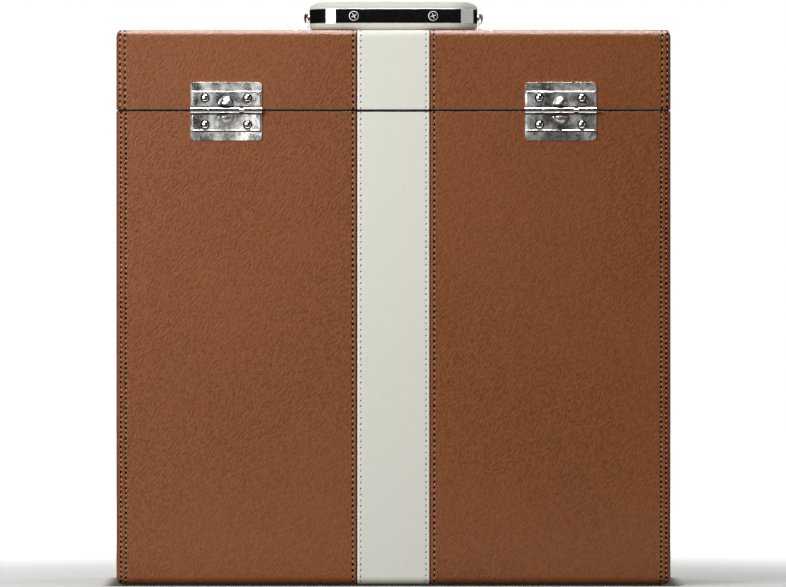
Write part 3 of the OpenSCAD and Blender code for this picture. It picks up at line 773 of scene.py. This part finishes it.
def shellPiece(name, source, keep, body, colour):
    bm = source.copy()
    bmesh.ops.delete(bm, geom=[f for f in bm.faces if not keep(f.calc_center_median().x)], context="FACES")
    for f in bm.faces:
        # the faces inside the seam gap take the painted seam shade
        f.material_index = 1 if abs(abs(f.calc_center_median().x) - seamX) < halfGap else 0
    mesh = bpy.data.meshes.new(name)
    bm.to_mesh(mesh)
    bm.free()
    piece = addPiece(name, mesh, body, [colour, seamGapShade])
    thick = piece.modifiers.new("thickness", "SOLIDIFY")
    thick.thickness = shell["thickness"]
    thick.offset = -1
    flat = piece.modifiers.new("flatFaces", "WEIGHTED_NORMAL")
    flat.keep_sharp = True
    return piece


seamGapShade = grainedFinish("seamGapShade")
for body, part in caseParts.items():
    source = pressedShell(part)
    left = shellPiece(body + "CoverLeft", source, lambda x: x < -seamX, body, brown)
    right = shellPiece(body + "CoverRight", source, lambda x: x > seamX, body, brown)
    stripe = shellPiece(body + "Stripe", source, lambda x: abs(x) < seamX, body, cream)
    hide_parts(body + "_cover_left")
    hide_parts(body + "_cover_right")
    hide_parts(body + "_stripe")
    source.free()


def lidWall(node, name, side):  # a lid board whose outer edges are rounded as the cover is
    low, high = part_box(node)
    inner, outer = sorted((abs(low[1]), abs(high[1])))
    bm = softBlock(high[0], outer, low[2], high[2], low[2], shell["boardInset"])
    cutAcross(bm, (0, side * inner, 0), (0, side, 0), dropInner=True)
    bmesh.ops.holes_fill(bm, edges=[e for e in bm.edges if e.is_boundary])
    bmesh.ops.recalc_face_normals(bm, faces=bm.faces)
    mesh = bpy.data.meshes.new(name)
    bm.to_mesh(mesh)
    bm.free()
    wall = addPiece(name, mesh, "lid", [finishOf["board"]])
    sharpen(mesh, "boards")
    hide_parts(node)


lidWall("lid_back_board", "lidBackWall", 1)
lidWall("lid_front_board", "lidFrontWall", -1)
print("covers ready")


stitch = {
    "start": (0.8 * mm, 2.0 * mm),  # from the rim to the first hole
    "wobble": 0.10 * mm,
    "sideWobble": 0.4,  # the wobble across the row, as a share of that along it
    "brown": {"length": 1.85 * mm, "width": 1.30 * mm, "lean": -22, "dash": (0.30, 0.68)},
    "cream": {"length": 1.50 * mm, "width": 0.65 * mm, "lean": -35, "dash": (0.20, 0.80)},
    "leanSpread": 0.12,  # radians
    "holeSpread": (0.85, 1.12),
    "holeSides": 10,
    "holeRings": ((1.0, 0.035 * mm), (0.72, 0.05 * mm), (0.3, 0.045 * mm)),  # share of the radius, height
    "holeMiddle": 0.042 * mm,
    "threadRadius": 0.23 * mm,
    "threadEnd": 0.55,  # its radius there, as a share of the full one
    "threadSides": 7,
    "threadSteps": 6,
    "rise": 0.20 * mm,  # the thread's middle stands this high over its ends
    "riseCurve": 0.6,
    "taperCurve": 0.5,
    "sunk": 0.12 * mm,
    "drift": 0.45 * mm,  # how far a thread slants sideways
    "endRows": 10 * mm,  # every row this near a side slants, and the rows left of the middle
    "cornerSteps": 24,
}


def beltPath(part, x):  # points and outward directions round the shell at this x, rim to rim
    r, endR = shell["edgeRadius"], shell["endRadius"]
    over = max(0.0, abs(x) - (caseSide - endR))
    lean = min(1.0, over / endR)
    level = math.sqrt(1 - lean * lean)
    reach = r * level
    sideways = math.copysign(lean / endR, x)
    back, low, high = caseBack - r, part["low"], part["high"]
    rimZ, farZ = (high, low) if part["rimOnTop"] else (low, high)
    up = 1 if farZ > rimZ else -1
    turnZ = farZ - up * r
    points = []

    def add(y, z, ny, nz):
        normal = Vector((sideways, ny * level / r, nz * level / r)).normalized()
        points.append((Vector((x, y, z)), normal))

    add(back + reach, rimZ, 1, 0)
    steps = stitch["cornerSteps"]
    for corner, start in ((1, 0), (-1, 90)):
        for i in range(steps + 1):
            a = math.radians(start + 90 * i / steps)
            ny, nz = math.cos(a), math.sin(a)
            add(corner * back + reach * ny, turnZ + up * reach * nz, ny, up * nz)
    add(-back - reach, rimZ, -1, 0)
    return points


def alongPath(points, pitch, first):  # evenly spaced places on a path: point, normal, tangent
    lengths = [0.0]
    for (a, _), (b, _) in zip(points, points[1:]):
        lengths.append(lengths[-1] + (b - a).length)
    places, k = [], 0
    s = first
    while s < lengths[-1]:
        while lengths[k + 1] < s:
            k += 1
        span = max(lengths[k + 1] - lengths[k], tiny)
        t = (s - lengths[k]) / span
        (a, na), (b, nb) = points[k], points[k + 1]
        places.append((a.lerp(b, t), na.lerp(nb, t).normalized(), (b - a).normalized()))
        s += pitch
    return places


def stitchRow(part, x, pitch, kind, threads, holes, seed):
    rng = random.Random(seed)
    spec = stitch[kind]
    marks = []
    for p, n, t in alongPath(beltPath(part, x), pitch / 2, rng.uniform(*stitch["start"])):
        shift = rng.gauss(0, 1) * stitch["wobble"] * stitch["sideWobble"]
        slide = rng.gauss(0, 1) * stitch["wobble"]
        marks.append((p + n.cross(t) * shift + t * slide, n, t))
    slants = x < 0 or x > caseSide - stitch["endRows"]
    drift = Vector((-stitch["drift"] if slants else 0, 0, 0))
    for i in range(0, len(marks), 2):
        p, n, t = marks[i]
        lean = math.radians(spec["lean"]) + rng.gauss(0, stitch["leanSpread"])
        turned = (Matrix.Rotation(lean, 3, n) @ t).normalized()
        size = rng.uniform(*stitch["holeSpread"])
        addHole(holes, part, p, n, turned, spec["length"] * size, spec["width"] * size)
        if i + 2 < len(marks):
            addThread(threads, part, marks[i:i + 3], spec["dash"], drift)


def ringFaces(start, count, flipped=False):  # between a ring of points and the next ring
    faces = []
    for i in range(count):
        a, b = start + i, start + (i + 1) % count
        faces.append((a, a + count, b + count, b) if flipped else (a, b, b + count, a + count))
    return faces


def addHole(store, part, p, n, t, length, width):  # a disc of painted shade for the needle hole, lying just over the pressed surface
    verts, faces = store
    across = n.cross(t)
    start, sides, rings = len(verts), stitch["holeSides"], stitch["holeRings"]
    for radius, lift in rings:
        for i in range(sides):
            a = math.tau * i / sides
            v = p + t * (math.cos(a) * radius * length / 2)
            v += across * (math.sin(a) * radius * width / 2)
            verts.append(v + n * (lift - pressDepth(part, abs(v.x))))
    verts.append(p + n * (stitch["holeMiddle"] - pressDepth(part, abs(p.x))))
    for k in range(len(rings) - 1):
        faces += ringFaces(start + k * sides, sides)
    last = start + (len(rings) - 1) * sides
    faces += [(last + i, last + (i + 1) % sides, last + sides) for i in range(sides)]


def addThread(store, part, marks, dash, drift):  # the stretch of thread that shows below a hole
    verts, faces = store
    first, middle, last = marks
    sides, steps = stitch["threadSides"], stitch["threadSteps"]
    start = len(verts)
    t = (last[0] - first[0]).normalized()
    for k in range(steps + 1):
        u = k / steps
        along = lerp(*dash, u)
        along = along if part["rimOnTop"] else 1 - along
        a, b = (first, middle) if along < 0.5 else (middle, last)
        w = along * 2 if along < 0.5 else along * 2 - 1
        p, n = a[0].lerp(b[0], w), a[1].lerp(b[1], w).normalized()
        across = n.cross(t)
        swell = math.sin(math.pi * u)
        centre = p + drift * u
        lift = stitch["rise"] * swell ** stitch["riseCurve"] - stitch["sunk"]
        centre += n * (lift - pressDepth(part, abs(centre.x)))
        radius = stitch["threadRadius"] * lerp(stitch["threadEnd"], 1, swell ** stitch["taperCurve"])
        for i in range(sides):
            angle = math.tau * i / sides
            verts.append(centre + (across * math.cos(angle) + n * math.sin(angle)) * radius)
    for k in range(steps):
        faces += ringFaces(start + k * sides, sides, flipped=True)
    faces.append([start + i for i in range(sides)])
    faces.append([start + steps * sides + i for i in reversed(range(sides))])


sewing = {
    kind: (grainedFinish(kind + "Thread"), grainedFinish(kind + "NeedleHole"))
    for kind in ("brown", "cream")
}
for body, part in caseParts.items():
    for kind, (thread, hole) in sewing.items():
        threads, holes = ([], []), ([], [])
        for k, (row, pitch) in enumerate(part[kind + "Rows"]):
            for side in (-1, 1):
                seed = 10 * k + side + len(body)
                stitchRow(part, side * row, pitch, kind, threads, holes, seed)
        slot = kind + "_leatherette"
        addMesh(body + kind.capitalize() + "Stitches", *threads, body, thread, slot)
        addMesh(body + kind.capitalize() + "NeedleHoles", *holes, body, hole, slot)
print("stitching ready")


handlePads = {
    "limbWidth": 15 * mm,
    "cornerRadius": 19 * mm,
    "cornerSteps": 12,
    "ring": 20,  # steps over a section
    "spacing": 1.6 * mm,
    "endRun": 6 * mm,  # length over which an end rounds off
    "endHeight": 0.04,  # at the very end, as a share of the full height
    "endWidth": 0.62,
    "gatherDepth": 0.12 * mm,  # small folds on the inside of each bend
    "gatherLength": 1.3 * mm,
    "seed": 5,
    "upper": {"node": "handle_upper_pad", "power": 1.0, "side": 1},
    "lower": {"node": "handle_lower_pad", "power": 0.62, "side": -1},
}


# middle line of the grip from one pivot to the other, with its heading in degrees
def gripPath(halfWidth, reach, start):
    half, steps = handlePads["limbWidth"] / 2, handlePads["cornerSteps"]
    r = handlePads["cornerRadius"] - half
    armX, gripY = halfWidth - half, reach - half
    pieces = []
    count = max(2, round((gripY - r - start) / handlePads["spacing"]))
    for i in range(count):
        pieces.append((-armX, lerp(start, gripY - r, i / count), 90.0))
    for i in range(steps + 1):
        a = math.radians(90 * i / steps)
        pieces.append((-armX + r - r * math.cos(a), gripY - r + r * math.sin(a), 90 - 90 * i / steps))
    count = round((armX - r) / handlePads["spacing"])
    for i in range(1, count):
        pieces.append((lerp(-armX + r, 0, i / count), gripY, 0.0))
    mirrored = [(-x, y, -heading) for x, y, heading in reversed(pieces)]
    return pieces + [(0.0, gripY, 0.0)] + mirrored


def padSection(spec, height, seat, swell, gather):  # sideways place and height of each point
    ring, points = handlePads["ring"], []
    halfWidth = handlePads["limbWidth"] / 2 * lerp(handlePads["endWidth"], 1, swell)
    for j in range(ring + 1):
        a = math.pi * j / ring
        c, h = math.cos(a), math.sin(a)
        out = math.copysign(abs(c) ** spec["power"], c)
        lift = height * swell * h ** spec["power"] + gather * max(0.0, -c) * h
        points.append((halfWidth * out, seat + spec["side"] * lift))
    return points


def padMesh(name, spec):
    low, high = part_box(spec["node"])
    halfWidth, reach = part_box("handle_band")[1][0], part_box("handle_band")[1][1]
    seat = low[2] if spec["side"] > 0 else high[2]
    path = gripPath(halfWidth, reach, low[1])
    run = [0.0]
    for (ax, ay, _), (bx, by, _) in zip(path, path[1:]):
        run.append(run[-1] + math.hypot(bx - ax, by - ay))
    verts, faces = [], []
    phase = random.Random(handlePads["seed"]).uniform(0, math.tau)
    for (x, y, heading), s in zip(path, run):
        fromEnd = min(1.0, min(s, run[-1] - s) / handlePads["endRun"])
        swell = lerp(handlePads["endHeight"], 1, math.sqrt(max(0.0, 1 - (1 - fromEnd) ** 2)))
        bend = math.sin(math.radians(2 * abs(heading))) if 0 < abs(heading) < 90 else 0.0
        gather = bend * handlePads["gatherDepth"] * math.sin(s / handlePads["gatherLength"] + phase)
        turn = math.radians(heading)
        for w, z in padSection(spec, high[2] - low[2], seat, swell, gather):
            verts.append(Vector((x - w * math.sin(turn), y + w * math.cos(turn), z)))
    n = handlePads["ring"] + 1
    for k in range(len(path) - 1):
        faces += ringFaces(k * n, n, flipped=spec["side"] < 0)
    last = (len(path) - 1) * n
    faces += [list(range(n)), [last + j for j in range(n)]]
    pad = addMesh(name, verts, faces, "handle", shadedPadCream, "cream_leatherette")
    bm = bmesh.new()
    bm.from_mesh(pad.data)
    bmesh.ops.recalc_face_normals(bm, faces=bm.faces)
    bm.to_mesh(pad.data)
    bm.free()
    sharpen(pad.data, "pads")
    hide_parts(spec["node"])


padMesh("upperPad", handlePads["upper"])
padMesh("lowerPad", handlePads["lower"])
print("handle ready")


studio = {
    "floorHalf": 6.0,
    "floorColour": rgb(0.80, 0.80, 0.79),
    "contact": (1 * mm, 12 * mm, 0.12),  # the shade right beside the case
    "floorBounce": rgb(0.15, 0.14, 0.13),  # what the floor sends back to the case
    "glowDistance": (0.20, 1.0),  # the floor is pale from here out
    "glow": (0.04, 0.90),
    "ambient": 0.32,
    "lamps": [
        # name, width, height, place, aimed at, radiance, whether it lights matt surfaces too
        ("keySoftbox", 0.71, 0.76, (0.595, 0.889, 0.56), (0, 0.08, 0.3), 5.6, True),
        ("overheadSoftbox", 1.10, 0.55, (0.0, 0.30, 1.50), (0, 0.1, 0.3), 0.25, True),
        ("overheadCard", 0.90, 1.32, (0.0, 0.06, 1.45), (0, 0.06, 0), 22.0, False),
        ("floorCard", 1.0, 0.14, (0.0, 0.20, 0.003), (0, 0.20, 1), 1.3, False),
        ("greyCard", 1.50, 0.90, (-1.20, 0.13, 0.45), (0, 0.05, 0.35), 0.45, True),
        ("claspSideFill", 1.40, 1.20, (0.5, -1.9, 1.35), (0, -0.08, 0.2), 2.9, True),
        ("claspSideKey", 0.9, 1.20, (-1.3, -1.3, 1.30), (0, -0.08, 0.2), 2.9, True),
    ],
    # black screens that only reflections see, with their angles in degrees
    "surround": {"radius": 4.5, "middle": 0.3, "azimuth": (-125, 125), "elevation": (-2, 64)},
    "farSurround": {"radius": 4.6, "middle": 0.3, "azimuth": (120, 240), "elevation": (-2, 38)},
    "screenSteps": (24, 8),
    "nearMat": {"inner": (0.183, 0.090), "outer": (0.200, 0.100), "lift": 1 * mm},
    "farMat": {"inner": (0.305, 0.265), "outer": (4.6, 4.6), "lift": 1 * mm},
}


def aimed(item, target):
    direction = Vector(target) - item.location
    item.rotation_euler = direction.to_track_quat("-Z", "Y").to_euler()


def shownTo(tree):  # 1 for camera, glossy and transmission rays
    path = tree.nodes.new("ShaderNodeLightPath")
    total = path.outputs["Is Camera Ray"]
    for name in ("Is Glossy Ray", "Is Transmission Ray"):
        total = compute(tree, "MAXIMUM", total, path.outputs[name])
    return total


def besideCase(tree):  # distance from the case's outline
    x, y, _ = axes(tree)
    squares = []
    for value, side in ((x, caseSide), (y, caseBack)):
        past = compute(tree, "SUBTRACT", compute(tree, "ABSOLUTE", value), side)
        past = compute(tree, "MAXIMUM", past, 0)
        squares.append(compute(tree, "MULTIPLY", past, past))
    return compute(tree, "SQRT", compute(tree, "ADD", *squares))


def floorMaterial():
    material, tree, out = blankMaterial("paleFloor")
    bounce = tree.nodes.new("ShaderNodeBsdfDiffuse")
    bounce.inputs["Color"].default_value = studio["floorBounce"]
    diffuse = tree.nodes.new("ShaderNodeBsdfDiffuse")
    near, far, least = studio["contact"]
    shade = ramp(tree, besideCase(tree), near, far, 1 - least, 0)
    tree.links.new(mixColour(tree, shade, studio["floorColour"], rgb(0, 0, 0)), diffuse.inputs["Color"])
    glow = tree.nodes.new("ShaderNodeEmission")
    away = tree.nodes.new("ShaderNodeVectorMath")
    away.operation = "LENGTH"
    tree.links.new(place(tree), away.inputs[0])
    strength = ramp(tree, away.outputs["Value"], *studio["glowDistance"], *studio["glow"])
    tree.links.new(strength, glow.inputs["Strength"])
    both = tree.nodes.new("ShaderNodeAddShader")
    tree.links.new(diffuse.outputs[0], both.inputs[0])
    tree.links.new(glow.outputs[0], both.inputs[1])
    choose = tree.nodes.new("ShaderNodeMixShader")
    tree.links.new(shownTo(tree), choose.inputs[0])
    tree.links.new(bounce.outputs[0], choose.inputs[1])
    tree.links.new(both.outputs[0], choose.inputs[2])
    tree.links.new(choose.outputs[0], out.inputs[0])
    return material


def stageMesh(name, verts, faces, material):
    mesh = bpy.data.meshes.new(name)
    mesh.from_pydata(verts, [], faces)
    mesh.materials.append(material)
    item = bpy.data.objects.new(name, mesh)
    bpy.context.scene.collection.objects.link(item)
    return item


def onlyReflected(item):
    item.visible_camera = False
    item.visible_diffuse = False
    item.visible_shadow = False
    item.visible_transmission = False


def domeScreen(name, spec, material):
    verts, faces = [], []
    across, up = studio["screenSteps"]
    for j in range(up + 1):
        e = math.radians(lerp(*spec["elevation"], j / up))
        for i in range(across + 1):
            a = math.radians(lerp(*spec["azimuth"], i / across))
            flat = spec["radius"] * math.cos(e)
            height = spec["middle"] + spec["radius"] * math.sin(e)
            verts.append((flat * math.sin(a), flat * math.cos(a), height))
    for j in range(up):
        for i in range(across):
            a = j * (across + 1) + i
            faces.append((a, a + 1, a + across + 2, a + across + 1))
    onlyReflected(stageMesh(name, verts, faces, material))


def rectangle(x, y, z):
    return [(-x, -y, z), (x, -y, z), (x, y, z), (-x, y, z)]


def floorRing(name, spec, material):
    verts = rectangle(*spec["inner"], spec["lift"]) + rectangle(*spec["outer"], spec["lift"])
    faces = [(i, (i + 1) % 4, 4 + (i + 1) % 4, 4 + i) for i in range(4)]
    onlyReflected(stageMesh(name, verts, faces, material))


half = studio["floorHalf"]
stageMesh("floor", rectangle(half, half, 0), [(0, 1, 2, 3)], floorMaterial())
flagBlack = grainedFinish("flagBlack")
domeScreen("blackSurround", studio["surround"], flagBlack)
domeScreen("farSurround", studio["farSurround"], flagBlack)
floorRing("nearMat", studio["nearMat"], flagBlack)
floorRing("farMat", studio["farMat"], flagBlack)

for name, width, height, where, target, radiance, onMatt in studio["lamps"]:
    lamp = bpy.data.lights.new(name, "AREA")
    lamp.shape = "RECTANGLE"
    lamp.size, lamp.size_y = width, height
    lamp.energy = radiance * math.pi * width * height  # watts for this radiance
    item = bpy.data.objects.new(name, lamp)
    item.location = where
    aimed(item, target)
    item.visible_camera = False
    item.visible_diffuse = onMatt
    bpy.context.scene.collection.objects.link(item)

world = bpy.data.worlds.new("studio")
world.use_nodes = True
bpy.context.scene.world = world
tree = world.node_tree
background = tree.nodes["Background"]
background.inputs["Color"].default_value = rgb(1, 1, 1)
tree.links.new(ramp(tree, shownTo(tree), 0, 1, studio["ambient"], 1.0), background.inputs["Strength"])

bpy.context.scene.view_settings.view_transform = "Standard"
print("studio ready")
